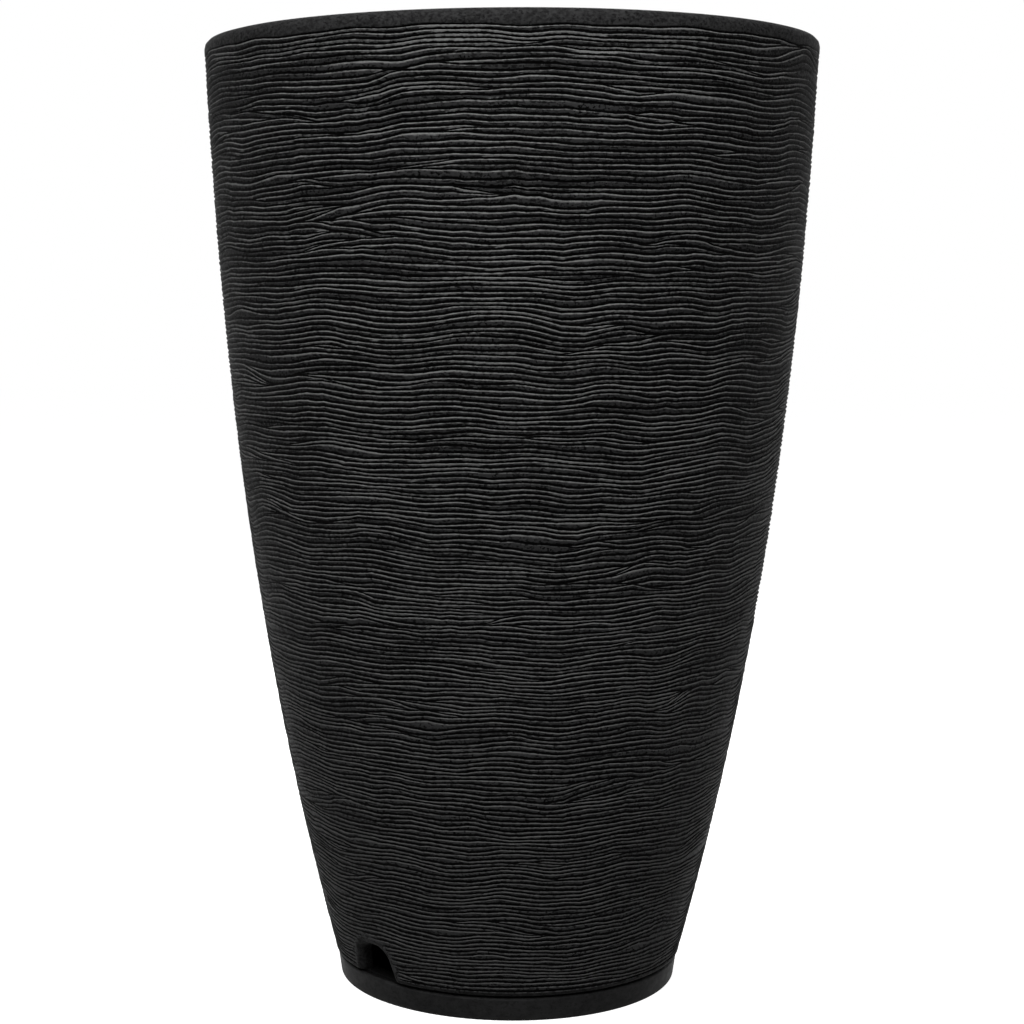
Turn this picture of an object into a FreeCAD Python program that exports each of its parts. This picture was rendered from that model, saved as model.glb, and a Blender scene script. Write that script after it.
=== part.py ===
import FreeCAD, Part
import os
import re
import Sketcher

# Tall round floor planter in moulded composite: a pot whose wall swells a little beyond a straight taper, a drip
# tray that it stands on, a perforated plant shelf on a ledge inside it, and a rubber plug in its drain hole.
# Millimetres, +Z up, origin at the middle of the tray's underside, the pot's water notch towards -Y.

SIZES = {
    # Pot: outside form
    "overall_height": 512,
    "rim_radius": 165,
    "foot_radius": 95.9,
    "swell_low": 20.9,
    "swell_high": 16.4,
    "wall": 8,
    "foot_round": 1.2,
    # Pot: main lines of the combing
    "comb_line_low": 50,
    "comb_line_depth": 1.2,
    "comb_line_width": 2.4,
    "comb_line_count": 19,
    "rim_band": 8,
    # Pot: rim
    "rim_width": 13,
    "rim_depth": 10,
    "rim_slope": 9,
    "rim_outer_round": 4.5,
    "rim_inner_round": 3,
    # Pot: floor and drain
    "floor_height": 48,
    "floor_thickness": 8,
    "floor_corner_round": 12,
    "drain_radius": 12,
    # Pot: ledge for the shelf
    "shelf_height": 200,
    "ledge_width": 6,
    "ledge_depth": 50,
    # Pot: water notch in the skirt
    "notch_foot_width": 25.6,
    "notch_top_width": 19.6,
    "notch_height": 17.6,
    "notch_corner_round": 6.5,
    "notch_edge_round": 5.2,
    # Tray
    "tray_height": 13,
    "tray_inset": 0.9,
    "tray_taper": 1.9,
    "tray_wall": 3.2,
    "tray_floor": 3,
    "tray_floor_lift": 1.2,
    "tray_base_round": 1.6,
    "tray_rim_round": 1.2,
    "tray_corner_round": 3,
    "shadow_gap": 1.2,
    "shadow_depth": 4.5,
    "ring_height": 10,
    "ring_lead_in": 1.5,
    "ring_clearance": 0.5,
    "ring_gap_width": 40,
    "ring_gap_count": 4,
    # Shelf
    "shelf_plate": 4,
    "shelf_clearance": 1,
    "spigot_clearance": 1.2,
    "rib_depth": 12,
    "rib_width": 3,
    "rib_count": 8,
    "hub_radius": 22,
    "finger_radius": 16,
    "finger_place": 62,
    "finger_count": 2,
    "weep_radius": 4,
    "weep_row_inner": 36,
    "weep_row_middle": 85,
    "weep_row_outer": 107,
    "weep_spread_middle": 8,
    "weep_spread_outer": 13,
    # Plug
    "plug_clearance": 0.3,
    "plug_lap": 6,
    "plug_flange": 3,
    "plug_reach": 1.5,
    "plug_lead_in": 1.5,
    "stem_radius": 5,
    "stem_height": 8,
    "grip_radius": 9,
    "grip_thickness": 5,
    "grip_round": 1.6,
}

# Heights and radii that several pieces share, as formulas of the sizes above
SEAT = "(tray_height + shadow_gap)"
FLOOR_TOP = "(floor_height + floor_thickness)"
RING_OUTER = "(foot_radius - wall - ring_clearance)"
RESERVOIR = f"({RING_OUTER} - tray_wall)"
TRAY_RIM = "(foot_radius - tray_inset)"
TRAY_BASE = f"({TRAY_RIM} - tray_taper)"
CHANNEL_ROOF = "(tray_height - tray_wall)"
TRAY_FLOOR_TOP = "(tray_floor_lift + tray_floor)"


def wall_poles():
    """Control points (radius, height) of the pot's outer wall, foot to rim."""
    span = f"(overall_height - {SEAT})"
    flare = "(rim_radius - foot_radius)"
    return [
        ("foot_radius", SEAT),
        (f"(foot_radius + {flare} / 3 + swell_low)", f"({SEAT} + {span} / 3)"),
        (f"(foot_radius + {flare} * 2 / 3 + swell_high)", f"({SEAT} + {span} * 2 / 3)"),
        ("rim_radius", "overall_height"),
    ]


def outer_radius(height):
    """Formula for the wall's outer radius at a height: the cubic through the control points."""
    along = f"(({height} - {SEAT}) / (overall_height - {SEAT}))"
    back = f"(1 - {along})"
    foot, low, high, rim = (radius for radius, _ in wall_poles())
    return (
        f"({foot} * {back} ^ 3 + 3 * {low} * {along} * {back} ^ 2"
        f" + 3 * {high} * {along} ^ 2 * {back} + {rim} * {along} ^ 3)"
    )


def inner_radius(height):
    """Formula for the wall's inner radius at a height."""
    return f"({outer_radius(height)} - wall)"


def middle_radius(height):
    """Formula for a radius half way through the wall, where what joins the wall inside is rooted."""
    return f"({outer_radius(height)} - wall / 2)"


doc = FreeCAD.newDocument("planter")
sheet = doc.addObject("Spreadsheet::Sheet", "Sizes")
for row, (alias, number) in enumerate(SIZES.items(), 1):
    sheet.set(f"A{row}", alias)
    sheet.set(f"B{row}", str(number))
    sheet.setAlias(f"B{row}", alias)
doc.recompute()


def formula(text):
    """The text as a document expression, with each size's name pointing into the sheet."""
    return re.sub(r"[a-z_]{2,}", lambda word: f"Sizes.{word[0]}" if word[0] in SIZES else word[0], text)


def value(text):
    """The formula's number, in millimetres."""
    return float(sheet.evalExpression(formula(text)))


def bind(thing, **formulas):
    """Tie properties of a feature to formulas of the sheet."""
    for name, text in formulas.items():
        thing.setExpression(name, formula(text))


def new_sketch(body, role, name, height=None, turn=None):
    """A sketch on one of the body's own origin planes, raised by height and turned about its normal."""
    sketch = body.newObject("Sketcher::SketchObject", name)
    plane = next(feature for feature in body.Origin.OriginFeatures if feature.Role == role)
    sketch.AttachmentSupport = (plane, [""])
    sketch.MapMode = "FlatFace"
    if height:
        sketch.setExpression("AttachmentOffset.Base.z", formula(height))
    if turn:
        sketch.setExpression("AttachmentOffset.Rotation.Angle", formula(turn))
    return sketch


def place_point(sketch, geometry, vertex, across, up):
    """Hold one point of a sketch at its distances across and up from the sketch's origin."""
    for kind, axis, text in (("DistanceX", -2, across), ("DistanceY", -1, up)):
        if text == "0":
            sketch.addConstraint(Sketcher.Constraint("PointOnObject", geometry, vertex, axis))
        else:
            rule = Sketcher.Constraint(kind, -1, 1, geometry, vertex, value(text))
            sketch.setExpression(f"Constraints[{sketch.addConstraint(rule)}]", formula(text))


def add_outline(sketch, points):
    """A closed outline of straight lines through points given as (across, up) formulas."""
    places = [FreeCAD.Vector(value(across), value(up), 0) for across, up in points]
    lines = [
        sketch.addGeometry(Part.LineSegment(start, end), False)
        for start, end in zip(places, places[1:] + places[:1])
    ]
    for line, following, (across, up) in zip(lines, lines[1:] + lines[:1], points):
        sketch.addConstraint(Sketcher.Constraint("Coincident", line, 2, following, 1))
        place_point(sketch, line, 1, across, up)


def add_circle(sketch, across, up, radius):
    """A circle with its centre and radius held by formulas."""
    centre = FreeCAD.Vector(value(across), value(up), 0)
    circle = Part.Circle(centre, FreeCAD.Vector(0, 0, 1), value(radius))
    number = sketch.addGeometry(circle, False)
    place_point(sketch, number, 3, across, up)
    rule = Sketcher.Constraint("Radius", number, value(radius))
    sketch.setExpression(f"Constraints[{sketch.addConstraint(rule)}]", formula(radius))


def add_wall_curve(sketch, inset):
    """The wall's curve, moved in by inset, held by its four control points. Gives its geometry number."""
    poles = [(f"({radius} - {inset})", height) for radius, height in wall_poles()]
    curve = Part.BSplineCurve()
    places = [FreeCAD.Vector(value(radius), value(height), 0) for radius, height in poles]
    curve.buildFromPolesMultsKnots(places, [4, 4], [0, 1], False, 3)
    number = sketch.addGeometry(curve, False)
    sketch.exposeInternalGeometry(number)
    for step, (radius, height) in enumerate(poles, 1):
        place_point(sketch, number + step, 3, radius, height)
    return number


def revolve(body, name, sketch, kind="Revolution"):
    """Turn a sketch once round the planter's upright axis and add it to the body, or cut it out as a Groove."""
    feature = body.newObject(f"PartDesign::{kind}", name)
    feature.Profile = sketch
    feature.ReferenceAxis = (sketch, ["V_Axis"])
    feature.Angle = 360
    doc.recompute()
    return feature


def revolve_outline(body, name, points):
    """Add a ring or disc from its outline, given as (radius, height) formulas."""
    sketch = new_sketch(body, "XZ_Plane", f"{name}_profile")
    add_outline(sketch, points)
    return revolve(body, name, sketch)


def cut(body, name, sketch, reverse=False):
    """Cut a sketch through the body, on one side of the sketch's plane."""
    before = body.Shape.Volume
    feature = body.newObject("PartDesign::Pocket", name)
    feature.Profile = sketch
    feature.Type = "ThroughAll"
    feature.Reversed = reverse
    doc.recompute()
    if body.Shape.Volume >= before:
        raise RuntimeError(f"{name} cuts nothing")
    return feature


def repeat(body, name, feature, count):
    """Repeat a feature evenly round the upright axis."""
    pattern = body.newObject("PartDesign::PolarPattern", name)
    pattern.Originals = [feature]
    pattern.Axis = (next(axis for axis in body.Origin.OriginFeatures if axis.Role == "Z_Axis"), [""])
    pattern.Angle = 360
    bind(pattern, Occurrences=count)
    body.Tip = pattern
    doc.recompute()
    return pattern


def round_edges(body, name, radius, is_wanted):
    """Round the edges whose every sampled point passes the test."""
    base = body.Tip
    wanted = [
        f"Edge{number}"
        for number, edge in enumerate(base.Shape.Edges, 1)
        if all(is_wanted(point) for point in edge.discretize(5))
    ]
    if not wanted:
        raise RuntimeError(f"{name} finds no edge")
    fillet = body.newObject("PartDesign::Fillet", name)
    fillet.Base = (base, wanted)
    bind(fillet, Radius=radius)
    doc.recompute()
    return fillet


NEAR = 0.01


def axis_distance(point):
    """How far a point lies from the planter's upright axis."""
    return (point.x**2 + point.y**2) ** 0.5


def on_circle(radius, height):
    """A test for points on one level circle about the upright axis, from its formulas."""
    wanted_radius = value(radius)
    wanted_height = value(height)
    return lambda point: (
        abs(point.z - wanted_height) < NEAR and abs(axis_distance(point) - wanted_radius) < NEAR
    )


# Pot: a wall of even thickness, then the floor, the shelf's ledge and the rim's lip inside it

pot = doc.addObject("PartDesign::Body", "planter_pot")
wall_profile = new_sketch(pot, "XZ_Plane", "wall_profile")
outside = add_wall_curve(wall_profile, "0")
inside = add_wall_curve(wall_profile, "wall")
wall_ends = (
    (("foot_radius - wall", SEAT), ("foot_radius", SEAT)),
    (("rim_radius - wall", "overall_height"), ("rim_radius", "overall_height")),
)
for vertex, (inner_end, outer_end) in enumerate(wall_ends, 1):
    ends = [FreeCAD.Vector(value(radius), value(height), 0) for radius, height in (inner_end, outer_end)]
    line = wall_profile.addGeometry(Part.LineSegment(*ends), False)
    wall_profile.addConstraint(Sketcher.Constraint("Coincident", line, 1, inside, vertex))
    wall_profile.addConstraint(Sketcher.Constraint("Coincident", line, 2, outside, vertex))
revolve(pot, "wall", wall_profile)

revolve_outline(pot, "floor", [
    ("0", "floor_height"),
    (middle_radius("floor_height"), "floor_height"),
    (middle_radius(FLOOR_TOP), FLOOR_TOP),
    ("0", FLOOR_TOP),
])

LEDGE_RADIUS = f"({inner_radius('shelf_height')} - ledge_width)"
LEDGE_LOW = "(shelf_height - ledge_depth)"
revolve_outline(pot, "shelf_ledge", [
    (LEDGE_RADIUS, LEDGE_LOW),
    (middle_radius(LEDGE_LOW), LEDGE_LOW),
    (middle_radius("shelf_height"), "shelf_height"),
    (LEDGE_RADIUS, "shelf_height"),
])

RIM_INNER = "(rim_radius - rim_width)"
LIP_LOW = "(overall_height - rim_depth)"
LIP_ROOT = f"({LIP_LOW} - rim_slope)"
revolve_outline(pot, "rim_lip", [
    (RIM_INNER, "overall_height"),
    (RIM_INNER, LIP_LOW),
    (inner_radius(LIP_ROOT), LIP_ROOT),
    (middle_radius(LIP_ROOT), LIP_ROOT),
    (middle_radius("overall_height"), "overall_height"),
])

drain_sketch = new_sketch(pot, "XY_Plane", "drain_circle")
add_circle(drain_sketch, "0", "0", "drain_radius")
cut(pot, "drain", drain_sketch, reverse=True)

# Pot: the notch is cut through the front of the skirt only, then its corners and every worn edge are rounded

NOTCH_TOP = f"({SEAT} + notch_height)"
NOTCH_BELOW = f"({SEAT} - notch_height)"
NOTCH_SPLAY = "(notch_foot_width - notch_top_width)"
notch_sketch = new_sketch(pot, "XZ_Plane", "notch_outline")
add_outline(notch_sketch, [
    (f"-(notch_foot_width + {NOTCH_SPLAY}) / 2", NOTCH_BELOW),
    (f"(notch_foot_width + {NOTCH_SPLAY}) / 2", NOTCH_BELOW),
    ("notch_top_width / 2", NOTCH_TOP),
    ("-notch_top_width / 2", NOTCH_TOP),
])
cut(pot, "water_notch", notch_sketch, reverse=True)


def is_notch_corner(point):
    """The notch's two upper corners, which run straight through the skirt."""
    level = abs(point.z - value(NOTCH_TOP)) < NEAR
    return level and abs(abs(point.x) - value("notch_top_width") / 2) < NEAR


def is_notch_mouth(point):
    """The notch's edge on the outside of the skirt."""
    on_wall = abs(axis_distance(point) - value(outer_radius(str(point.z)))) < NEAR
    beside = abs(point.x) < value("notch_foot_width") / 2 + NEAR
    return on_wall and beside and point.y < 0 and point.z < value(NOTCH_TOP) + NEAR


def is_foot_edge(point):
    """The skirt's lower outside edge, round to the ends of the notch's mouth."""
    return abs(point.z - value(SEAT)) < NEAR and axis_distance(point) > value("foot_radius - wall") + NEAR


round_edges(pot, "notch_corners", "notch_corner_round", is_notch_corner)
round_edges(pot, "notch_mouth", "notch_edge_round", is_notch_mouth)
round_edges(pot, "foot_edge", "foot_round", is_foot_edge)
round_edges(pot, "floor_corner", "floor_corner_round", on_circle(inner_radius(FLOOR_TOP), FLOOR_TOP))
round_edges(pot, "rim_outer_edge", "rim_outer_round", on_circle("rim_radius", "overall_height"))
round_edges(pot, "rim_inner_edge", "rim_inner_round", on_circle(RIM_INNER, "overall_height"))

# Pot: the comb's main lines, V grooves evenly spaced up the outside, whose arms run on past the wall

COMB_STEP = "((overall_height - rim_band - comb_line_low) / (comb_line_count - 1))"
comb_sketch = new_sketch(pot, "XZ_Plane", "comb_line_profiles")
for line in range(SIZES["comb_line_count"]):
    level = f"(comb_line_low + {COMB_STEP} * {line})"
    add_outline(comb_sketch, [
        (f"({outer_radius(level)} - comb_line_depth)", level),
        (f"({outer_radius(level)} + comb_line_depth)", f"({level} - comb_line_width)"),
        (f"({outer_radius(level)} + comb_line_depth)", f"({level} + comb_line_width)"),
    ])
revolve(pot, "comb_lines", comb_sketch, kind="Groove")

# Tray: a shallow dish whose hollow rim carries the pot on a raised land, a shadow gap below the pot's foot

tray = doc.addObject("PartDesign::Body", "drip_tray")
LAND_OUTER = "(foot_radius - shadow_depth)"
RING_TOP = f"({SEAT} + ring_height)"
ROOF_RADIUS = f"({TRAY_BASE} + tray_taper * {CHANNEL_ROOF} / tray_height - tray_wall)"
revolve_outline(tray, "dish", [
    ("0", "tray_floor_lift"),
    (RESERVOIR, "tray_floor_lift"),
    (RESERVOIR, "0"),
    (RING_OUTER, "0"),
    (RING_OUTER, CHANNEL_ROOF),
    (ROOF_RADIUS, CHANNEL_ROOF),
    (f"{TRAY_BASE} - tray_wall", "0"),
    (TRAY_BASE, "0"),
    (TRAY_RIM, "tray_height"),
    (LAND_OUTER, "tray_height"),
    (LAND_OUTER, SEAT),
    (RING_OUTER, SEAT),
    (RING_OUTER, f"{RING_TOP} - ring_lead_in"),
    (f"{RING_OUTER} - ring_lead_in", RING_TOP),
    (RESERVOIR, RING_TOP),
    (RESERVOIR, TRAY_FLOOR_TOP),
    ("0", TRAY_FLOOR_TOP),
])
round_edges(tray, "base_edge", "tray_base_round", on_circle(TRAY_BASE, "0"))
round_edges(tray, "rim_edge", "tray_rim_round", on_circle(TRAY_RIM, "tray_height"))
round_edges(tray, "dish_corner", "tray_corner_round", on_circle(RESERVOIR, TRAY_FLOOR_TOP))

gap_sketch = new_sketch(tray, "XZ_Plane", "ring_gap_outline")
add_outline(gap_sketch, [
    ("-ring_gap_width / 2", SEAT),
    ("ring_gap_width / 2", SEAT),
    ("ring_gap_width / 2", f"{RING_TOP} + ring_height"),
    ("-ring_gap_width / 2", f"{RING_TOP} + ring_height"),
])
ring_gap = cut(tray, "ring_gap", gap_sketch, reverse=True)
repeat(tray, "ring_gaps", ring_gap, "ring_gap_count")

# Shelf: a plate on the pot's ledge, with a spigot ring inside the ledge, ribs below and holes through it

shelf = doc.addObject("PartDesign::Body", "plant_shelf")
PLATE_RADIUS = f"({inner_radius('shelf_height')} - shelf_clearance)"
SPIGOT_OUTER = f"({LEDGE_RADIUS} - spigot_clearance)"
SPIGOT_INNER = f"({SPIGOT_OUTER} - rib_width)"
RIB_LOW = "(shelf_height - rib_depth)"
PLATE_TOP = "(shelf_height + shelf_plate)"
revolve_outline(shelf, "plate", [
    ("0", "shelf_height"),
    ("hub_radius - rib_width", "shelf_height"),
    ("hub_radius - rib_width", RIB_LOW),
    ("hub_radius", RIB_LOW),
    ("hub_radius", "shelf_height"),
    (SPIGOT_INNER, "shelf_height"),
    (SPIGOT_INNER, RIB_LOW),
    (SPIGOT_OUTER, RIB_LOW),
    (SPIGOT_OUTER, "shelf_height"),
    (PLATE_RADIUS, "shelf_height"),
    (PLATE_RADIUS, PLATE_TOP),
    ("0", PLATE_TOP),
])

rib_sketch = new_sketch(shelf, "XY_Plane", "rib_outline", height=RIB_LOW, turn="180 / rib_count")
add_outline(rib_sketch, [
    ("hub_radius - rib_width / 2", "-rib_width / 2"),
    (f"{SPIGOT_INNER} + rib_width / 2", "-rib_width / 2"),
    (f"{SPIGOT_INNER} + rib_width / 2", "rib_width / 2"),
    ("hub_radius - rib_width / 2", "rib_width / 2"),
])
rib = shelf.newObject("PartDesign::Pad", "rib")
rib.Profile = rib_sketch
bind(rib, Length="rib_depth")
doc.recompute()
repeat(shelf, "ribs", rib, "rib_count")

finger_sketch = new_sketch(shelf, "XY_Plane", "finger_circle")
add_circle(finger_sketch, "finger_place", "0", "finger_radius")
finger_hole = cut(shelf, "finger_hole", finger_sketch, reverse=True)
repeat(shelf, "finger_holes", finger_hole, "finger_count")

weep_sketch = new_sketch(shelf, "XY_Plane", "weep_circles")
weep_places = [
    ("weep_row_inner", "0"),
    ("weep_row_middle", "-weep_spread_middle"),
    ("weep_row_middle", "weep_spread_middle"),
    ("weep_row_outer", "-weep_spread_outer"),
    ("weep_row_outer", "0"),
    ("weep_row_outer", "weep_spread_outer"),
]
for ring_radius, angle in weep_places:
    sideways = "0" if angle == "0" else f"{ring_radius} * sin({angle})"
    add_circle(weep_sketch, f"{ring_radius} * cos({angle})", sideways, "weep_radius")
weep_holes = cut(shelf, "weep_sector", weep_sketch, reverse=True)
repeat(shelf, "weep_holes", weep_holes, "rib_count")

# Plug: a shank in the drain hole, a flange that seals on the floor and a mushroom grip

plug = doc.addObject("PartDesign::Body", "drain_plug")
SHANK = "(drain_radius - plug_clearance)"
SHANK_LOW = "(floor_height - plug_reach)"
FLANGE = "(drain_radius + plug_lap)"
FLANGE_TOP = f"({FLOOR_TOP} + plug_flange)"
STEM_TOP = f"({FLANGE_TOP} + stem_height)"
GRIP_TOP = f"({STEM_TOP} + grip_thickness)"
revolve_outline(plug, "stopper", [
    ("0", SHANK_LOW),
    (f"{SHANK} - plug_lead_in", SHANK_LOW),
    (SHANK, f"{SHANK_LOW} + plug_lead_in"),
    (SHANK, FLOOR_TOP),
    (FLANGE, FLOOR_TOP),
    (FLANGE, FLANGE_TOP),
    ("stem_radius", FLANGE_TOP),
    ("stem_radius", STEM_TOP),
    ("grip_radius", STEM_TOP),
    ("grip_radius", GRIP_TOP),
    ("0", GRIP_TOP),
])
round_edges(plug, "grip_edge", "grip_round", on_circle("grip_radius", GRIP_TOP))
round_edges(plug, "grip_under", "grip_round", on_circle("grip_radius", STEM_TOP))

# Every feature and piece is checked before anything is written

doc.recompute()
for thing in doc.Objects:
    if {"Invalid", "Error"} & set(thing.State):
        raise RuntimeError(f"{thing.Name} did not build: {thing.State}")

os.makedirs("parts", exist_ok=True)
for piece in (pot, tray, shelf, plug):
    shape = piece.Shape
    if shape.isNull() or not shape.isValid() or len(shape.Solids) != 1:
        raise RuntimeError(f"{piece.Label} is not one valid solid")
for piece in (pot, tray, shelf, plug):
    piece.Shape.exportStep(os.path.join("parts", f"{piece.Label}.step"))
    print(f"{piece.Label}: {piece.Shape.Volume / 1000:.1f} cubic centimetres")
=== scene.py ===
# %% [markdown]
# A tall round planter in charcoal composite, combed all over in fine wavy ridges. It stands on a drip
# tray, and a plant shelf and a drain plug are inside it. The measured solids come in first as a fixed
# frame: every piece made below is fitted to them, in metres, with +Z up and the water notch towards -Y.

# %% Load the measured solids
import math

import bmesh
import bpy
import numpy as np
from mathutils import Matrix, Vector


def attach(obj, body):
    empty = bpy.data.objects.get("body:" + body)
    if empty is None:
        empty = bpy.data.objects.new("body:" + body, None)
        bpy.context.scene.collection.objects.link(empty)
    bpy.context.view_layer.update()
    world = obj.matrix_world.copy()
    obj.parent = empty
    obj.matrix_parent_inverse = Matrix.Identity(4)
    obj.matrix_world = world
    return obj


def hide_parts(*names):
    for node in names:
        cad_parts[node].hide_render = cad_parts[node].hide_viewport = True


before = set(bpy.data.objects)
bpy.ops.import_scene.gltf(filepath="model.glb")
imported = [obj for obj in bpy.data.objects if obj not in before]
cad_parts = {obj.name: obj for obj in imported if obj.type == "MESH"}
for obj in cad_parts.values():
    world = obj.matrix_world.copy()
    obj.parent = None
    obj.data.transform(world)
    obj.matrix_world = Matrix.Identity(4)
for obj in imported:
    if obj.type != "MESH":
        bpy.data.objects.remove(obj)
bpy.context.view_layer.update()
scene = bpy.context.scene
scene.view_settings.view_transform = "Standard"

# %% [markdown]
# The camera stands a little over a metre away, below the rim and above the middle, and looks slightly
# down. A long lens keeps the perspective weak, so that the pot looks hardly more tapered than it is. The
# picture is cropped a little off the lens's centre, which tilts the rim and the foot in opposite senses.
# Turning the camera a little to the left and shifting the lens back by about as much gives the same tilt.

# %% Camera
IMAGE_PIXELS = 1024
SENSOR_WIDTH = 36.0
CAMERA_AZIMUTH = math.radians(46.85)
CAMERA_DISTANCE = 1.1871
CAMERA_HEIGHT = 0.3827
CAMERA_PITCH = 0.1047
CAMERA_TURN = 0.0385
SHIFT_PIXELS = 86.0
FOCAL_PIXELS = 2156.0

camera_data = bpy.data.cameras.new("camera")
camera_data.sensor_width = SENSOR_WIDTH
camera_data.lens = FOCAL_PIXELS * SENSOR_WIDTH / IMAGE_PIXELS
camera_data.shift_x = SHIFT_PIXELS / IMAGE_PIXELS
camera = bpy.data.objects.new("camera", camera_data)
scene.collection.objects.link(camera)
towards_camera = Vector((math.sin(CAMERA_AZIMUTH), -math.cos(CAMERA_AZIMUTH), 0))
camera.matrix_world = (
    Matrix.Translation(towards_camera * CAMERA_DISTANCE + Vector((0, 0, CAMERA_HEIGHT)))
    @ Matrix.Rotation(CAMERA_AZIMUTH + CAMERA_TURN, 4, "Z")
    @ Matrix.Rotation(math.pi / 2 - CAMERA_PITCH, 4, "X")
)
scene.camera = camera
print("lens", round(camera_data.lens, 2), "mm")

# %% [markdown]
# Materials are built from nodes, so a small helper adds a node and joins it up. A value that is a socket
# becomes a link, and any other value is typed into the input. Two more helpers cover the nodes that come
# back most often: one sum, and one range moved smoothly onto another.

# %% Node helpers
def add_node(tree, kind, inputs=None, **settings):
    """A shader node with its settings, and its inputs given as values or as sockets to link from."""
    node = tree.nodes.new(kind)
    for name, setting in settings.items():
        setattr(node, name, setting)
    for name, given in (inputs or {}).items():
        if isinstance(given, bpy.types.NodeSocket):
            tree.links.new(given, node.inputs[name])
        else:
            node.inputs[name].default_value = given
    return node


def math_node(tree, operation, first, second=0.0):
    """The output of one Math node."""
    return add_node(tree, "ShaderNodeMath", {0: first, 1: second}, operation=operation).outputs[0]


def spread(tree, value, low, high, out_low=0.0, out_high=1.0):
    """A value moved smoothly from one range to another and kept inside it."""
    limits = {"Value": value, "From Min": low, "From Max": high, "To Min": out_low, "To Max": out_high}
    return add_node(tree, "ShaderNodeMapRange", limits, interpolation_type="SMOOTHSTEP").outputs["Result"]


print("node helpers ready")

# %% [markdown]
# The studio is a white floor in a white room. Real white paper all round would also light the ridges from
# below and wash out their shadows. So the floor and the room show white only to the camera and in
# reflections, which the Light Path node tells apart, and to every other ray they are much darker.

# %% Floor
FLOOR_SIZE = 12.0
FLOOR_COLOUR = (0.9, 0.9, 0.9, 1)
FLOOR_BOUNCE = (0.2, 0.2, 0.2, 1)
FLOOR_GLOW = 0.97
WHITE = (1, 1, 1, 1)


def background_rays(tree):
    """1 for rays from the camera and for those that a shiny or clear face sends on, and 0 for the rest."""
    rays = add_node(tree, "ShaderNodeLightPath").outputs
    sent_on = math_node(tree, "MAXIMUM", rays["Is Glossy Ray"], rays["Is Transmission Ray"])
    return math_node(tree, "MAXIMUM", rays["Is Camera Ray"], sent_on)


floor_mesh = bpy.data.meshes.new("floor")
floor_bm = bmesh.new()
bmesh.ops.create_grid(floor_bm, x_segments=1, y_segments=1, size=FLOOR_SIZE / 2)
floor_bm.to_mesh(floor_mesh)
floor_bm.free()
floor = bpy.data.objects.new("floor", floor_mesh)
scene.collection.objects.link(floor)

floor_material = bpy.data.materials.new("studio_floor")
floor_material.use_nodes = True
tree = floor_material.node_tree
tree.nodes.clear()
bounce = add_node(tree, "ShaderNodeBsdfDiffuse", {"Color": FLOOR_BOUNCE})
white = add_node(tree, "ShaderNodeBsdfDiffuse", {"Color": FLOOR_COLOUR})
glow = add_node(tree, "ShaderNodeEmission", {"Color": WHITE, "Strength": FLOOR_GLOW})
shown = add_node(tree, "ShaderNodeAddShader", {0: white.outputs[0], 1: glow.outputs[0]})
by_ray = {0: background_rays(tree), 1: bounce.outputs[0], 2: shown.outputs[0]}
mixed = add_node(tree, "ShaderNodeMixShader", by_ray)
add_node(tree, "ShaderNodeOutputMaterial", {"Surface": mixed.outputs[0]})
floor_mesh.materials.append(floor_material)
print("floor", FLOOR_SIZE, "m wide")

# %% [markdown]
# The room is only the world's background, a colour with a strength, because nothing else of it is seen. A
# faint share of it reaches the planter, as from pale walls far away, so that shadows aren't quite black.

# %% Room
ROOM_FILL = 0.03

world = bpy.data.worlds.new("studio")
scene.world = world
world.use_nodes = True
tree = world.node_tree
tree.nodes.clear()
strength = spread(tree, background_rays(tree), 0.0, 1.0, ROOM_FILL, 1.0)
room = add_node(tree, "ShaderNodeBackground", {"Color": WHITE, "Strength": strength})
add_node(tree, "ShaderNodeOutputWorld", {"Surface": room.outputs[0]})
print("room fill", ROOM_FILL)

# %% [markdown]
# The main softbox hangs close in front of the planter and shines down at 45 degrees: steep enough to catch
# the upper edge of every ridge, and so near that the light fades towards the foot. Two weaker ones on the
# sides lift the parts of the wall that turn away, and one behind lights the far side, for views from there.

# %% Lamps
AIM_HEIGHT = 0.3
towards_left = Vector((-math.cos(CAMERA_AZIMUTH), -math.sin(CAMERA_AZIMUTH), 0))


def add_softbox(name, front, left, height, size, watts):
    """A square soft light, placed by its distances to the front and left, and aimed at the axis."""
    data = bpy.data.lights.new(name, "AREA")
    data.size = size
    data.energy = watts
    lamp = bpy.data.objects.new(name, data)
    scene.collection.objects.link(lamp)
    lamp.location = towards_camera * front + towards_left * left + Vector((0, 0, height))
    aim = Vector((0, 0, AIM_HEIGHT)) - lamp.location
    lamp.rotation_euler = aim.to_track_quat("-Z", "Y").to_euler()


add_softbox("front_softbox", front=0.75, left=0.07, height=1.05, size=0.6, watts=12.7)
add_softbox("left_softbox", front=0.25, left=1.25, height=1.7, size=0.9, watts=1.2)
add_softbox("right_softbox", front=0.25, left=-1.25, height=1.7, size=0.9, watts=0.3)
add_softbox("back_softbox", front=-0.85, left=0.0, height=1.05, size=0.6, watts=8.0)

# %% [markdown]
# The pot's wall follows one smooth curve from a narrow foot to a wide rim. A cubic with four control
# radii gives it, the same that the solid has, so that the dressed pot and the solid agree everywhere. The
# wall is 8 mm thick, and its inside follows the outside.

# %% Wall curve
FOOT_HEIGHT = 0.0142
RIM_HEIGHT = 0.512
WALL_RADII = (0.0959, 0.139833, 0.158367, 0.165)
WALL = 0.008


def wall_radius(height):
    """Outside radius of the plain wall at a height."""
    along = (height - FOOT_HEIGHT) / (RIM_HEIGHT - FOOT_HEIGHT)
    back = 1 - along
    foot, low, high, rim = WALL_RADII
    return foot * back**3 + 3 * low * along * back**2 + 3 * high * along**2 * back + rim * along**3


def inside_radius(height):
    """Inside radius of the wall at a height."""
    return wall_radius(height) - WALL


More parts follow.
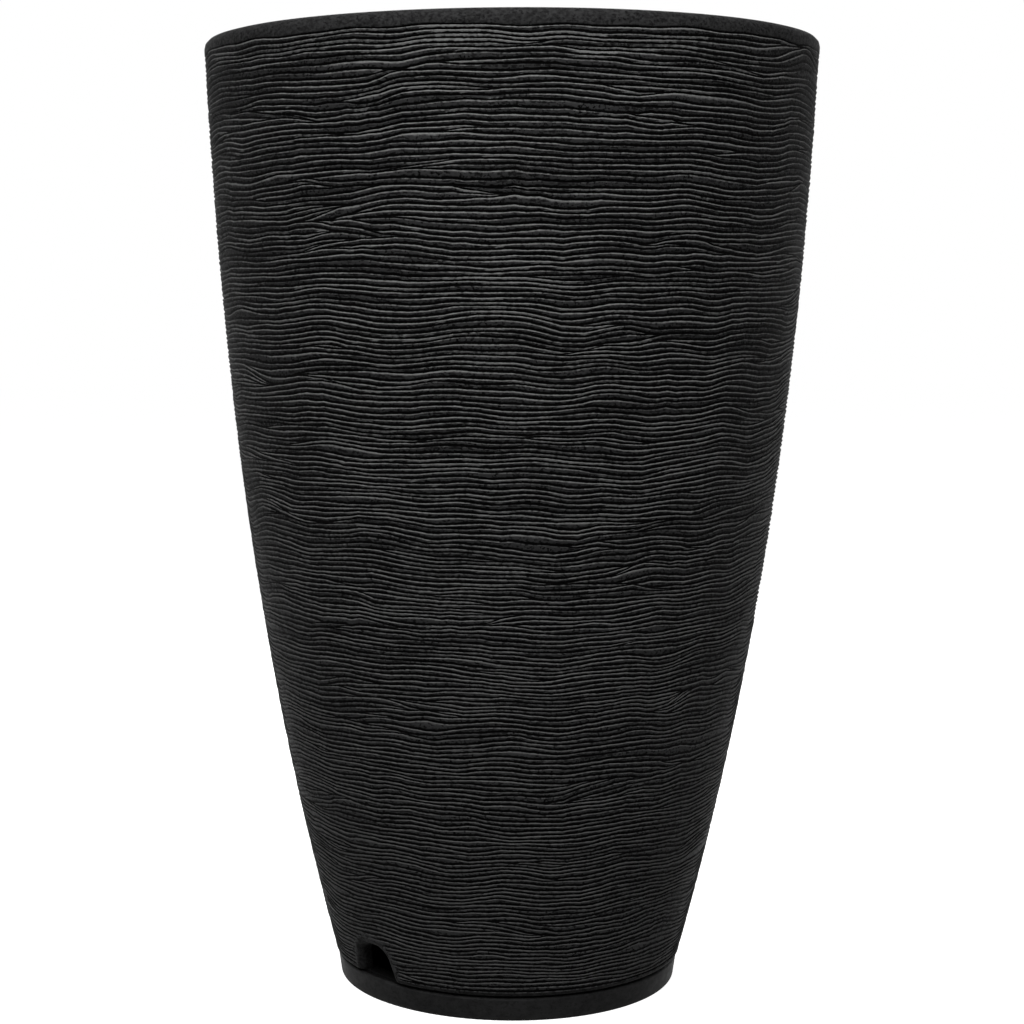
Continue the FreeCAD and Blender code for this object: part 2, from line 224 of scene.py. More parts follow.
middle_radius = wall_radius((FOOT_HEIGHT + RIM_HEIGHT) / 2)
print("rim", wall_radius(RIM_HEIGHT), "middle", round(middle_radius, 4), "foot", wall_radius(FOOT_HEIGHT))

# %% [markdown]
# The ridges are combed by hand in the wet composite: about 200 lie one above the other, each a few
# millimetres high, wavy, and often running out in a point. Displacing a fine grid would need millions of
# faces to keep their edges sharp. Here each ridge gets its own rows of vertices instead, so the edges
# follow it exactly. First come the random curves that everything else is read from. They are sums of
# waves that fit a whole number of times round the pot, so that they close.

# %% Random curves round the pot
COLUMNS = 170
COMB_SEED = 11
FULL_TURN = 2 * math.pi
angles = np.arange(COLUMNS) * FULL_TURN / COLUMNS
dice = np.random.default_rng(COMB_SEED)


def ring_curves(count, waves, fade):
    """Random closed curves: a row each, a value for each column round the pot, and a spread of 1."""
    numbers = np.arange(1, waves + 1)
    strength = dice.normal(0, 1, (count, waves)) / numbers**fade
    phase = dice.uniform(0, FULL_TURN, (count, waves))
    curves = np.zeros((count, COLUMNS))
    for wave in range(waves):
        curves += strength[:, wave, None] * np.cos(numbers[wave] * angles + phase[:, wave, None])
    return curves / curves.std()


def wall_field(step, waves, fade):
    """A random field over the wall, held as curves at even steps of height."""
    heights = np.arange(FOOT_HEIGHT, RIM_HEIGHT + step, step)
    return heights, ring_curves(len(heights), waves, fade)


def read_field(field, places):
    """The field's value at a table of heights with a column for each angle."""
    heights, curves = field
    return np.stack([np.interp(places[:, c], heights, curves[:, c]) for c in range(COLUMNS)], axis=1)


def smooth(share):
    """Eases from 0 to 1."""
    share = np.clip(share, 0, 1)
    return share * share * (3 - 2 * share)


rim_step = FULL_TURN * wall_radius(RIM_HEIGHT) / COLUMNS
print(COLUMNS, "columns, one every", round(1000 * rim_step, 1), "mm at the rim")

# %% [markdown]
# A comb is drawn round the pot in many passes. Where one pass gives way to the next, its ridges end one
# after another and new ones start between them. That is what makes the forks and the pointed ends. So the
# ridges come in three kinds: a few whole rings, overlaps of two passes, and short slivers. Each ridge has
# a share of its thickness at every column: 1 where it is whole, 0 where it isn't there, and less at a tip.

# %% Where each ridge runs
RIDGES = 420
RING_SHARE = 0.1
RING_OR_OVERLAP_SHARE = 0.66
RIDGES_IN_A_PASS = (1, 1, 1, 2, 2, 3, 4)
PASS_ANGLES = (0.8, 5.2)
OVERLAP_STEPS = (0.08, 0.2)
OVERLAP_TIPS = (0.8, 1.6)
OVERLAP_JITTER = 0.04
SLIVER_ANGLES = (0.14, 0.55)
SLIVER_TIPS = (0.05, 0.15)


def arc(start, end, tip_in, tip_out):
    """A ridge's share of its thickness round the pot: 1 from start to end, with pointed tips."""
    along = (angles - start) % FULL_TURN
    reach = (end - start) % FULL_TURN
    return np.clip(np.minimum(along / tip_in, (reach - along) / tip_out), 0, 1)


def comb_overlap():
    """Ridges of one pass of the comb that give way to those of the next, along two slanting lines."""
    count = dice.choice(RIDGES_IN_A_PASS)
    first, second = dice.uniform(0, FULL_TURN) + np.array([0, dice.uniform(*PASS_ANGLES)])
    steps = dice.uniform(*OVERLAP_STEPS, 2)
    passes = []
    for begin, finish, begin_step, finish_step in ((first, second, *steps), (second, first, *steps[::-1])):
        for ridge in range(count):
            early = ridge if dice.random() < 0.5 else count - 1 - ridge
            late = ridge if dice.random() < 0.5 else count - 1 - ridge
            tips = np.array([begin_step, finish_step]) * dice.uniform(*OVERLAP_TIPS, 2)
            jitter = dice.normal(0, OVERLAP_JITTER, 2)
            start = begin + early * begin_step + jitter[0]
            end = finish + (late + 1) * finish_step + jitter[1]
            passes.append(arc(start, end, *tips))
    return passes


def ridge_presence():
    """Share of its thickness that each ridge has at each column: whole rings, overlaps and short slivers."""
    rows = []
    while len(rows) < RIDGES:
        kind = dice.random()
        if kind < RING_SHARE:
            rows.append(np.ones(COLUMNS))
        elif kind < RING_OR_OVERLAP_SHARE:
            rows += comb_overlap()
        else:
            start = dice.uniform(0, FULL_TURN)
            end = start + dice.uniform(*SLIVER_ANGLES)
            rows.append(arc(start, end, *dice.uniform(*SLIVER_TIPS, 2)))
    return np.array(rows[:RIDGES])


presence = ridge_presence()
print("ridges at a column:", round((presence > 0).sum(0).mean(), 1))

# %% [markdown]
# The real ridges are thicker near the rim, uneven along their length, and swollen here and there where
# the composite dragged. Only the proportions matter at first: each column's ridges are stacked up and
# stretched to fill the combed part of the wall. The lines between them are the grooves.

# %% Thickness of each ridge
COMBED_LOW = 0.0170
COMBED_HIGH = 0.5038
THICKNESS_SCATTER = 0.15
USUAL_PLACES = (0, 0.6, 1)
USUAL_THICKNESS = (2.0, 2.05, 2.5)
SWELLINGS = 330
SWELLING_GAIN = (0.4, 1.1)
SWELLING_ANGLES = (0.06, 0.2)

usual = np.interp(np.linspace(0, 1, RIDGES), USUAL_PLACES, USUAL_THICKNESS)
scatter = np.exp(THICKNESS_SCATTER * ring_curves(RIDGES, waves=26, fade=0.25))
thickness = presence * usual[:, None] * scatter
for swelling in range(SWELLINGS):
    ridge = dice.integers(RIDGES)
    away = (angles - dice.uniform(0, FULL_TURN) + math.pi) % FULL_TURN - math.pi
    gain = dice.uniform(*SWELLING_GAIN)
    thickness[ridge] *= 1 + gain * np.exp(-((away / dice.uniform(*SWELLING_ANGLES)) ** 2))
stack = np.vstack([np.zeros(COLUMNS), np.cumsum(thickness, axis=0)])
lines = COMBED_LOW + (COMBED_HIGH - COMBED_LOW) * stack / stack[-1]
print("grooves:", len(lines), "from", COMBED_LOW, "to", COMBED_HIGH)

# %% [markdown]
# Stacked like this, a line drifts up and down by centimetres as ridges come and go below it, while real
# combing stays level. Fixed heights would be simpler, but then no ridge could end. So in each column the
# drift is measured against the line's mean height and smoothed over the heights. Most of it is then taken
# away, less and less towards the two ends.

# %% Level the ridges
LEVEL_STEP = 0.002
BLUR_HALF = 20
BLUR_SPREAD = 4.0
DRIFT_TAPER = 0.014
DRIFT_REMOVED = 0.88

levels = np.arange(COMBED_LOW, COMBED_HIGH, LEVEL_STEP)
taper = smooth((levels - COMBED_LOW) / DRIFT_TAPER) * smooth((COMBED_HIGH - levels) / DRIFT_TAPER)
wander = lines - lines.mean(axis=1, keepdims=True)
kernel = np.exp(-0.5 * (np.arange(-BLUR_HALF, BLUR_HALF + 1) / BLUR_SPREAD) ** 2)
kernel /= kernel.sum()
for c in range(COLUMNS):
    drift = np.interp(levels, lines[:, c], wander[:, c])
    drift = np.convolve(np.pad(drift, BLUR_HALF, mode="edge"), kernel, mode="valid")
    lines[:, c] -= DRIFT_REMOVED * np.interp(lines[:, c], levels, drift * taper)
print("drift before levelling, mm:", round(1000 * np.abs(wander).max(), 1))

# %% [markdown]
# Now the hand of the maker comes in: long waves that neighbouring ridges share, a fine tremble, a wavy
# edge under the rim, and chatter marks where the comb jumped and a whole group of ridges steps at once.
# Moving each ridge by chance alone would make them cross. Read from one field for the whole wall, the
# moves of neighbours are nearly the same.

# %% Waves and chatter marks
EDGE_EASE = 0.012
LONG_WAVE = 0.0013
TREMBLE = 0.00014
EDGE_TREMBLE = 0.3
RIM_WAVE = 0.0004
RIM_WAVE_REACH = 0.025
RIM_CURVE_WAVES = ((7, 1, 1.0), (18, 4, 1.0), (31, 0, 0.7))
RIM_CURVE_LIMIT = 2.2
CHATTER_MARKS = 80
CHATTER_COLUMNS = (2, 8)
CHATTER_SHIFT = (0.0002, 0.00045)
CHATTER_REACH = (0.006, 0.018)

inner = smooth((lines - COMBED_LOW) / EDGE_EASE) * smooth((COMBED_HIGH - lines) / EDGE_EASE)
lines += LONG_WAVE * inner * read_field(wall_field(step=0.035, waves=13, fade=0.2), lines)
fine_field = read_field(wall_field(step=0.0025, waves=44, fade=0.0), lines)
lines += TREMBLE * (EDGE_TREMBLE + (1 - EDGE_TREMBLE) * inner) * fine_field
rim_curve = sum(share * np.cos(turns * angles + phase) for turns, phase, share in RIM_CURVE_WAVES)
near_rim = smooth(1 - (COMBED_HIGH - lines) / RIM_WAVE_REACH)
lines += RIM_WAVE * near_rim * np.clip(rim_curve, -RIM_CURVE_LIMIT, RIM_CURVE_LIMIT)
for mark in range(CHATTER_MARKS):
    columns = (dice.integers(COLUMNS) + np.arange(dice.integers(*CHATTER_COLUMNS))) % COLUMNS
    centre = dice.uniform(COMBED_LOW, COMBED_HIGH)
    shift = dice.choice((-1, 1)) * dice.uniform(*CHATTER_SHIFT)
    near_mark = np.exp(-(((lines[:, columns] - centre) / dice.uniform(*CHATTER_REACH)) ** 2))
    lines[:, columns] += shift * inner[:, columns] * near_mark
thickness = np.diff(lines, axis=0)
print("thinnest and thickest ridge, mm:", round(1000 * thickness.min(), 3), round(1000 * thickness.max(), 2))

# %% [markdown]
# In section a ridge has a sloping underside, a face that leans out a little, and a worn upper edge. A
# thin ridge has no room for a face, so its two slopes meet. These tables give the heights and depths of
# those points for every ridge at every column. A ridge that fades out sinks to the depth of the groove.

# %% Cross-section of the ridges
GROOVE_DEPTH = 0.0007
GROOVE_SCATTER = 0.25
GROOVE_LIMITS = (0.0004, 0.001)
UPPER_EDGE = 0.0008
UPPER_SHARE = 0.42
UNDERSIDE = 0.0011
UNDERSIDE_SHARE = 0.58
FULL_THICKNESS = 0.0013
LEAST_FACE = 0.00045
WHOLE_FACE = 0.0006
FACE_SINK = 0.0001
DEEPEST_FACE = 0.0004
LIP_TONE = 0.86
LIP_SCATTER = 0.15
LIP_LIMITS = (0.5, 1.05)

uneven = 1 + GROOVE_SCATTER * read_field(wall_field(step=0.0014, waves=30, fade=0.1), lines)
groove_depth = np.clip(GROOVE_DEPTH * uneven, *GROOVE_LIMITS)
full = smooth(thickness / FULL_THICKNESS)
upper_height = lines[1:] - np.minimum(UPPER_EDGE, UPPER_SHARE * thickness)
lower_height = lines[:-1] + np.minimum(UNDERSIDE, UNDERSIDE_SHARE * thickness)
has_face = upper_height - lower_height > LEAST_FACE
lower_height = np.where(has_face, lower_height, upper_height)
opened = np.where(has_face, smooth((upper_height - lower_height) / WHOLE_FACE), 0)
sunk_field = read_field(wall_field(step=0.003, waves=20, fade=0.2), upper_height)
sunk = np.clip(FACE_SINK + FACE_SINK * sunk_field, 0, DEEPEST_FACE)
# how strongly each ridge's upper edge takes the worn colour with its painted highlight, varied at random
lip_tone = np.clip(LIP_TONE + LIP_SCATTER * ring_curves(RIDGES, waves=14, fade=0.4), *LIP_LIMITS)
print("share of the ridges that have a face:", round(has_face.sum() / (presence > 0).sum(), 2))

# %% [markdown]
# The points become rows of vertices, from the foot to the rim. Two more numbers go with each vertex and
# tell the material where it lies: "crest" is 0 in a groove and 1 on a ridge, and "side" is 0 at the foot
# of a face and about 1 on the worn edge. Smooth parts have values of their own. A painted image would have
# to be very large to be as fine, and numbers on the vertices stay in step with the shape.

# %% Rows of vertices
FACE_LEAN = 0.0002
FACE_FOOT_CREST = 0.5
COMB_MARGIN = 0.0008
SMOOTH_CREST = 0.8
SMOOTH_SIDE = -0.5

row_heights = [lines[0]]
row_depths = [groove_depth[0]]
row_crests = [np.zeros(COLUMNS)]
row_sides = [np.ones(COLUMNS)]
for ridge in range(RIDGES):
    low, high = groove_depth[ridge], groove_depth[ridge + 1]
    body, face_share, tone = full[ridge], opened[ridge], lip_tone[ridge]
    lip_depth = high + (sunk[ridge] - high) * body
    foot_depth = low + (sunk[ridge] + FACE_LEAN * face_share - low) * body
    row_heights += [lower_height[ridge], upper_height[ridge], lines[ridge + 1]]
    row_depths += [np.where(has_face[ridge], foot_depth, lip_depth), lip_depth, high]
    row_crests += [body * (1 - (1 - FACE_FOOT_CREST) * face_share), body, np.zeros(COLUMNS)]
    row_sides += [tone * (1 - face_share), tone, tone]
row_heights.append(lines[-1] + COMB_MARGIN)
row_depths.append(np.zeros(COLUMNS))
row_crests.append(np.full(COLUMNS, SMOOTH_CREST))
row_sides.append(np.full(COLUMNS, SMOOTH_SIDE))
row_heights = np.array(row_heights)
row_depths = np.array(row_depths)
row_crests = np.array(row_crests)
row_sides = np.array(row_sides)
print("rows of vertices on the combed wall:", len(row_heights))

# %% [markdown]
# The water notch is a small doorway in the skirt, wider at its foot, with round upper corners. Its outline
# is kept as a distance: less than zero inside, and growing outwards. The combing is smoothed away near it,
# as a finger would do. Later steps read the same distance to roll the wall in and to find the cut's edges.

# %% Water notch outline
NOTCH_FOOT_HALF = 0.0128
NOTCH_TOP_HALF = 0.0098
NOTCH_TOP = 0.0318
NOTCH_CORNER = 0.0065
FADE_START = 0.003
FADE_WIDTH = 0.005


def notch_distance(across, height):
    """How far a point of the front lies outside the notch's outline, or inside it where less than zero."""
    taper = (height - FOOT_HEIGHT) / (NOTCH_TOP - FOOT_HEIGHT)
    half = NOTCH_FOOT_HALF + (NOTCH_TOP_HALF - NOTCH_FOOT_HALF) * np.clip(taper, 0, 1)
    side = np.abs(across) - (half - NOTCH_CORNER)
    over = height - (NOTCH_TOP - NOTCH_CORNER)
    outside = np.hypot(np.maximum(side, 0), np.maximum(over, 0))
    return np.minimum(np.maximum(side, over), 0) + outside - NOTCH_CORNER


row_radii = wall_radius(row_heights)
front = np.sin(angles) < 0
beside = notch_distance(row_radii * np.cos(angles), row_heights)
comb_fade = np.where(front, smooth((beside - FADE_START) / FADE_WIDTH), 1.0)
row_radii = row_radii - row_depths * comb_fade
row_crests = SMOOTH_CREST + (row_crests - SMOOTH_CREST) * comb_fade
row_sides = SMOOTH_SIDE + (row_sides - SMOOTH_SIDE) * comb_fade
print("combing fades within", round(1000 * (FADE_START + FADE_WIDTH), 1), "mm of the notch")

# %% [markdown]
# The pot itself is one closed shell. Its half outline, rim, inside, ledge, floor, drain hole and foot, is
# a short list of corners, each with its own rounding. They have the sizes of the solid, so the shelf still
# rests on the ledge and the plug still fills the drain hole.

# %% Half outline of the pot
RIM_ROUND = 0.0045
LIP_RADIUS = 0.152
LIP_ROUND = 0.003
LIP_LOW = 0.502
LIP_LOW_ROUND = 0.002
LIP_ROOT = 0.493
ROWS_ABOVE_LEDGE = 8
ROWS_BELOW_LEDGE = 3
SHELF_HEIGHT = 0.200
LEDGE_WIDTH = 0.006
LEDGE_ROUND = 0.001
LEDGE_SLOPE_END = 0.012
LEDGE_SEARCH_STEP = 0.0005
FLOOR_LOW = 0.048
FLOOR_TOP = 0.056
FLOOR_ROUND = 0.012
FLOOR_CLEAR = 0.015
DRAIN_RADIUS = 0.012
DRAIN_ROUND = 0.0008
SKIRT_ROUND = 0.002
SKIRT_HEIGHTS = (0.036, 0.026)
FOOT_ROUND = 0.0012
FOOT_INSIDE_ROUND = 0.0008

ledge_radius = inside_radius(SHELF_HEIGHT) - LEDGE_WIDTH
search = np.arange(SHELF_HEIGHT, FLOOR_TOP, -LEDGE_SEARCH_STEP)
ledge_low = next(h for h in search if inside_radius(h) <= ledge_radius)
comb_start = COMBED_LOW - COMB_MARGIN
above_ledge = np.linspace(LIP_ROOT, SHELF_HEIGHT, ROWS_ABOVE_LEDGE)
below_ledge = np.linspace(ledge_low - LEDGE_SLOPE_END, FLOOR_TOP + FLOOR_CLEAR, ROWS_BELOW_LEDGE)
outline = [(WALL_RADII[-1], RIM_HEIGHT, RIM_ROUND), (LIP_RADIUS, RIM_HEIGHT, LIP_ROUND)]
outline += [(LIP_RADIUS, LIP_LOW, LIP_LOW_ROUND)]
outline += [(inside_radius(h), h, 0) for h in above_ledge]
outline += [(ledge_radius, SHELF_HEIGHT, LEDGE_ROUND), (ledge_radius, ledge_low, 0)]
outline += [(inside_radius(h), h, 0) for h in below_ledge]
outline += [(inside_radius(FLOOR_TOP), FLOOR_TOP, FLOOR_ROUND), (DRAIN_RADIUS, FLOOR_TOP, DRAIN_ROUND)]
outline += [(DRAIN_RADIUS, FLOOR_LOW, DRAIN_ROUND), (inside_radius(FLOOR_LOW), FLOOR_LOW, SKIRT_ROUND)]
outline += [(inside_radius(h), h, 0) for h in SKIRT_HEIGHTS]
outline += [(inside_radius(FOOT_HEIGHT), FOOT_HEIGHT, FOOT_INSIDE_ROUND)]
outline += [(WALL_RADII[0], FOOT_HEIGHT, FOOT_ROUND), (wall_radius(comb_start), comb_start, 0)]
print("corners of the outline:", len(outline))

# %% [markdown]
# The outline is drawn as a closed chain of vertices and edges, first the combed rows and then the corners.
# A row keeps its number in a layer of the mesh, so that it can be found again after the spin. Bevelling
# the corner vertices of a bare chain rounds them, and it is lighter work than a bevel round the whole pot.

# %% Draw the half outline
CORNER_SEGMENTS = 3

pot_bm = bmesh.new()
row_number = pot_bm.verts.layers.int.new("row")
crest = pot_bm.verts.layers.float.new("crest")
side = pot_bm.verts.layers.float.new("side")
chain = []
for number, height in enumerate(np.linspace(COMBED_LOW, COMBED_HIGH, len(row_heights)), 1):
    vertex = pot_bm.verts.new((wall_radius(height), 0, height))
    vertex[row_number] = number
    chain.append((vertex, 0))
chain += [(pot_bm.verts.new((radius, 0, height)), rounding) for radius, height, rounding in outline]
for (vertex, _), (following, _) in zip(chain, chain[1:] + chain[:1]):
    pot_bm.edges.new((vertex, following))
for vertex, _ in chain:
    vertex[crest] = SMOOTH_CREST
    vertex[side] = SMOOTH_SIDE
for vertex, rounding in chain:
    if rounding:
        bmesh.ops.bevel(
            pot_bm, geom=[vertex], offset=rounding, offset_type="OFFSET", segments=CORNER_SEGMENTS,
            profile=0.5, affect="VERTICES", material=-1,
        )
print("half outline:", len(pot_bm.verts), "points")

# %% [markdown]
# One spin round the axis makes the shell. A Screw modifier would make the same one, but the spin leaves a
# mesh that can be edited at once: each vertex of a combed row now moves to the height and depth that the
# tables give for its row and column. Rows that come together where a ridge ends are merged.

# %% Spin the outline and comb it
MERGE_DISTANCE = 0.00001

bmesh.ops.spin(
    pot_bm, geom=pot_bm.verts[:] + pot_bm.edges[:], cent=(0, 0, 0), axis=(0, 0, 1), angle=FULL_TURN,
    steps=COLUMNS, use_merge=True,
)
for vertex in pot_bm.verts:
    row = vertex[row_number] - 1
    if row >= 0:
        column = round(math.atan2(vertex.co.y, vertex.co.x) / FULL_TURN * COLUMNS) % COLUMNS
        radius = row_radii[row, column]
        vertex.co.x = radius * math.cos(angles[column])
        vertex.co.y = radius * math.sin(angles[column])
        vertex.co.z = row_heights[row, column]
        vertex[crest] = row_crests[row, column]
        vertex[side] = row_sides[row, column]
bmesh.ops.remove_doubles(pot_bm, verts=pot_bm.verts[:], dist=MERGE_DISTANCE)
bmesh.ops.recalc_face_normals(pot_bm, faces=pot_bm.faces[:])
open_edges = sum(len(edge.link_faces) != 2 for edge in pot_bm.edges)
print("combed pot:", len(pot_bm.verts), "vertices, open edges", open_edges)

# %% [markdown]
# Round the real notch the wall rolls inwards, as moulded edges do. The columns are too far apart to show
# that, so the level edges near the notch are divided first. Then every vertex there moves in by a quarter
# circle's drop, the more the nearer it is to the outline. A bevel along the finished cut would have to
# cross all the small faces of the ridges, so the wall is bent before the cut.

# %% Roll the wall in round the notch
NOTCH_ROLL = 0.0052
ROLLED_HALF_WIDTH = 0.026
ROLLED_HEIGHT = 0.047
LEVEL_EDGE = 0.002
LEVEL_CUTS = 4


def by_notch(vertex):
    """Whether a vertex is on the outside of the skirt, near the notch."""
    place = vertex.co
    near_front = place.y < 0 and abs(place.x) < ROLLED_HALF_WIDTH and place.z < ROLLED_HEIGHT
    return near_front and math.hypot(place.x, place.y) > inside_radius(place.z) + WALL / 2


level_edges = [
    edge for edge in pot_bm.edges
    if all(by_notch(v) for v in edge.verts) and abs(edge.verts[0].co.x - edge.verts[1].co.x) > LEVEL_EDGE
]
bmesh.ops.subdivide_edges(pot_bm, edges=level_edges, cuts=LEVEL_CUTS, use_grid_fill=True)
for vertex in pot_bm.verts:
    if by_notch(vertex):
        gap = NOTCH_ROLL - max(float(notch_distance(vertex.co.x, vertex.co.z)), 0.0)
        if gap > 0:
            roll = NOTCH_ROLL - math.sqrt(NOTCH_ROLL**2 - gap**2)
            distance = math.hypot(vertex.co.x, vertex.co.y)
            vertex.co.x *= (distance - roll) / distance
            vertex.co.y *= (distance - roll) / distance
pot_mesh = bpy.data.meshes.new("combed_pot")
pot_bm.to_mesh(pot_mesh)
pot_bm.free()
pot = bpy.data.objects.new("combed_pot", pot_mesh)
scene.collection.objects.link(pot)
print("level edges divided beside the notch:", len(level_edges))

# %% [markdown]
# The opening is cut with a Boolean: a block with the notch's outline is taken away from the shell. The
# outline is a flat face with two bevelled corners, pushed through the skirt. It reaches below the foot, so
# that no thin skin is left there. Deleting faces instead would leave an edge in steps.

# %% Notch cutter
CUT_BELOW = 0.01
CUT_FRONT = -0.12
CUT_LENGTH = 0.06
CUT_SEGMENTS = 8

cut_bm = bmesh.new()
slope = (NOTCH_FOOT_HALF - NOTCH_TOP_HALF) / (NOTCH_TOP - FOOT_HEIGHT)
low = FOOT_HEIGHT - CUT_BELOW
low_half = NOTCH_FOOT_HALF + slope * CUT_BELOW
corners = [(-low_half, low), (low_half, low), (NOTCH_TOP_HALF, NOTCH_TOP), (-NOTCH_TOP_HALF, NOTCH_TOP)]
profile = [cut_bm.verts.new((x, CUT_FRONT, z)) for x, z in corners]
cut_bm.faces.new(profile)
bmesh.ops.bevel(
    cut_bm, geom=profile[2:], offset=NOTCH_CORNER, offset_type="OFFSET", segments=CUT_SEGMENTS,
    profile=0.5, affect="VERTICES", material=-1,
)
pushed = bmesh.ops.extrude_face_region(cut_bm, geom=cut_bm.faces[:])
moved = [part for part in pushed["geom"] if isinstance(part, bmesh.types.BMVert)]
bmesh.ops.translate(cut_bm, verts=moved, vec=(0, CUT_LENGTH, 0))
bmesh.ops.recalc_face_normals(cut_bm, faces=cut_bm.faces[:])
cut_mesh = bpy.data.meshes.new("notch_cutter")
cut_bm.to_mesh(cut_mesh)
cut_bm.free()
cutter = bpy.data.objects.new("notch_cutter", cut_mesh)
scene.collection.objects.link(cutter)
print("notch cutter:", len(cut_mesh.vertices), "vertices")

# %% [markdown]
# The cut's new vertices know nothing of crests and sides, so they get the values of smooth parts. Edges
# that turn sharply are marked sharp, which keeps the ridges crisp under smooth shading. The finished pot
# rides on the pot's body and stands for its solid.

# %% Cut the notch
NOTCH_SKIN = 0.0004
SHARP_ANGLE = math.radians(34)

boolean = pot.modifiers.new("notch", "BOOLEAN")
boolean.operation = "DIFFERENCE"
boolean.solver = "MANIFOLD"
boolean.object = cutter
ready = pot.evaluated_get(bpy.context.evaluated_depsgraph_get())
notched_mesh = bpy.data.meshes.new_from_object(ready)
pot.modifiers.clear()
pot.data = notched_mesh
bpy.data.objects.remove(cutter)
for vertex in notched_mesh.vertices:
    across, depth, height = vertex.co
    in_front = depth < 0 and height < NOTCH_TOP + NOTCH_SKIN
    if in_front and notch_distance(across, height) < NOTCH_SKIN:
        notched_mesh.attributes["crest"].data[vertex.index].value = SMOOTH_CREST
        notched_mesh.attributes["side"].data[vertex.index].value = SMOOTH_SIDE
notched_mesh.shade_smooth()
notched_mesh.set_sharp_from_angle(angle=SHARP_ANGLE)
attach(pot, "pot")
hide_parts("planter_pot")
notched_mesh.calc_loop_triangles()
print("pot:", len(notched_mesh.loop_triangles), "triangles")

# %% [markdown]
# The charcoal composite is stone dust in resin. It is full of tiny pores, and its tone drifts a little.
# These two effects come back on other pieces, so each is a node group that puts out masks. They are made
# from noise, which needs no unwrapping and stays sharp close up, as a picture would not. Lengths in the
# groups are in metres.

# %% Noise and groups
NOISE_ROUGHNESS = 0.6


def new_group(name, inputs, outputs):
    """An empty shader group with its sockets, and its two end nodes."""
    group = bpy.data.node_groups.new(name, "ShaderNodeTree")
    for direction, sockets in (("INPUT", inputs), ("OUTPUT", outputs)):
        for socket, kind in sockets.items():
            group.interface.new_socket(socket, in_out=direction, socket_type=kind)
    return group, add_node(group, "NodeGroupInput"), add_node(group, "NodeGroupOutput")


def noise(tree, coordinates, per_metre, detail=2.0, stretch=(1, 1, 1)):
    """Smooth noise with so many blobs to the metre, flattened by the stretch."""
    places = add_node(tree, "ShaderNodeVectorMath", {0: coordinates, 1: stretch}, operation="MULTIPLY")
    settings = {"Scale": per_metre, "Detail": detail, "Roughness": NOISE_ROUGHNESS}
    return add_node(tree, "ShaderNodeTexNoise", {"Vector": places.outputs[0], **settings}).outputs["Fac"]


print("noise and group helpers ready")

# %% [markdown]
# A pore is a peak of fine noise: a sharp step cuts everything else off, and slow noise thins the pores out in
# patches. Grain is fine noise as it is, and drift is slow noise for changes of tone from place to place.

# %% Pores and grain
PORE_EDGE = (0.56, 0.62)
PATCH_RANGE = (0.3, 0.7)
PATCH_SHARES = (0.55, 1.0)

pore_group, given, made = new_group(
    "composite_pores", {"Coordinates": "NodeSocketVector", "Pores per Metre": "NodeSocketFloat"},
    {"Pores": "NodeSocketFloat"},
)
where = given.outputs["Coordinates"]
specks = noise(pore_group, where, given.outputs["Pores per Metre"], detail=1.0, stretch=(1, 1, 1.3))
patches = noise(pore_group, where, per_metre=55.0, stretch=(1, 1, 2))
patch_share = spread(pore_group, patches, *PATCH_RANGE, *PATCH_SHARES)
pores = math_node(pore_group, "MULTIPLY", spread(pore_group, specks, *PORE_EDGE), patch_share)
pore_group.links.new(pores, made.inputs["Pores"])

grain_group, given, made = new_group(
    "moulded_grain", {"Coordinates": "NodeSocketVector", "Grains per Metre": "NodeSocketFloat"},
    {"Grain": "NodeSocketFloat", "Drift": "NodeSocketFloat"},
)
where = given.outputs["Coordinates"]
grain = noise(grain_group, where, given.outputs["Grains per Metre"], detail=3.0, stretch=(1, 1, 1.6))
drift = noise(grain_group, where, per_metre=22.0, detail=3.0)
grain_group.links.new(grain, made.inputs["Grain"])
grain_group.links.new(drift, made.inputs["Drift"])
print("groups:", [group.name for group in bpy.data.node_groups])

# %% [markdown]
# Each finish is a material of its own. It starts from the Principled shader and reads the object's own
# coordinates, so that its pattern stays on the piece when the piece moves. Every finish here is matt. A
# glossy one would mirror the white room, so the shader's specular level stays low on all of them.

# %% Finish helpers
GRAIN_RANGE = (0.3, 0.7)


def new_finish(name):
    """A material with its tree, its shader and the object's own coordinates."""
    material = bpy.data.materials.new(name)
    material.use_nodes = True
    tree = material.node_tree
    coordinates = add_node(tree, "ShaderNodeTexCoord").outputs["Object"]
    return material, tree, tree.nodes["Principled BSDF"], coordinates


def use_group(tree, group, coordinates, **sizes):
    """The group in a material, read at the coordinates."""
    settings = {name.replace("_", " "): size for name, size in sizes.items()}
    return add_node(tree, "ShaderNodeGroup", {"Coordinates": coordinates, **settings}, node_tree=group)


def mix_colour(tree, share, first, second):
    """A colour between two others."""
    node = add_node(tree, "ShaderNodeMix", {"Factor": share}, data_type="RGBA")
    for socket, colour in zip(("A_Color", "B_Color"), (first, second)):
        entry = next(item for item in node.inputs if item.identifier == socket)
        if isinstance(colour, bpy.types.NodeSocket):
            tree.links.new(colour, entry)
        else:
            entry.default_value = (*colour, 1)
    return next(item for item in node.outputs if item.identifier == "Result_Color")


def set_surface(tree, shader, colour, roughness, specular):
    """Joins up a shader's colour and roughness, and sets how strongly it mirrors."""
    tree.links.new(colour, shader.inputs["Base Color"])
    tree.links.new(roughness, shader.inputs["Roughness"])
    shader.inputs["Specular IOR Level"].default_value = specular


def add_relief(tree, shader, height, strength, distance):
    """Fine relief from a height mask, as a bump on the shader's normal."""
    bump = add_node(tree, "ShaderNodeBump", {"Height": height, "Strength": strength, "Distance": distance})
    tree.links.new(bump.outputs["Normal"], shader.inputs["Normal"])


def dress(piece, material):
    """Gives a piece a finish in place of the one it has."""
    piece.data.materials.clear()
    piece.data.materials.append(material)
    print(material.name, "on", piece.name, "with", len(material.node_tree.nodes), "nodes")


print("finish helpers ready")

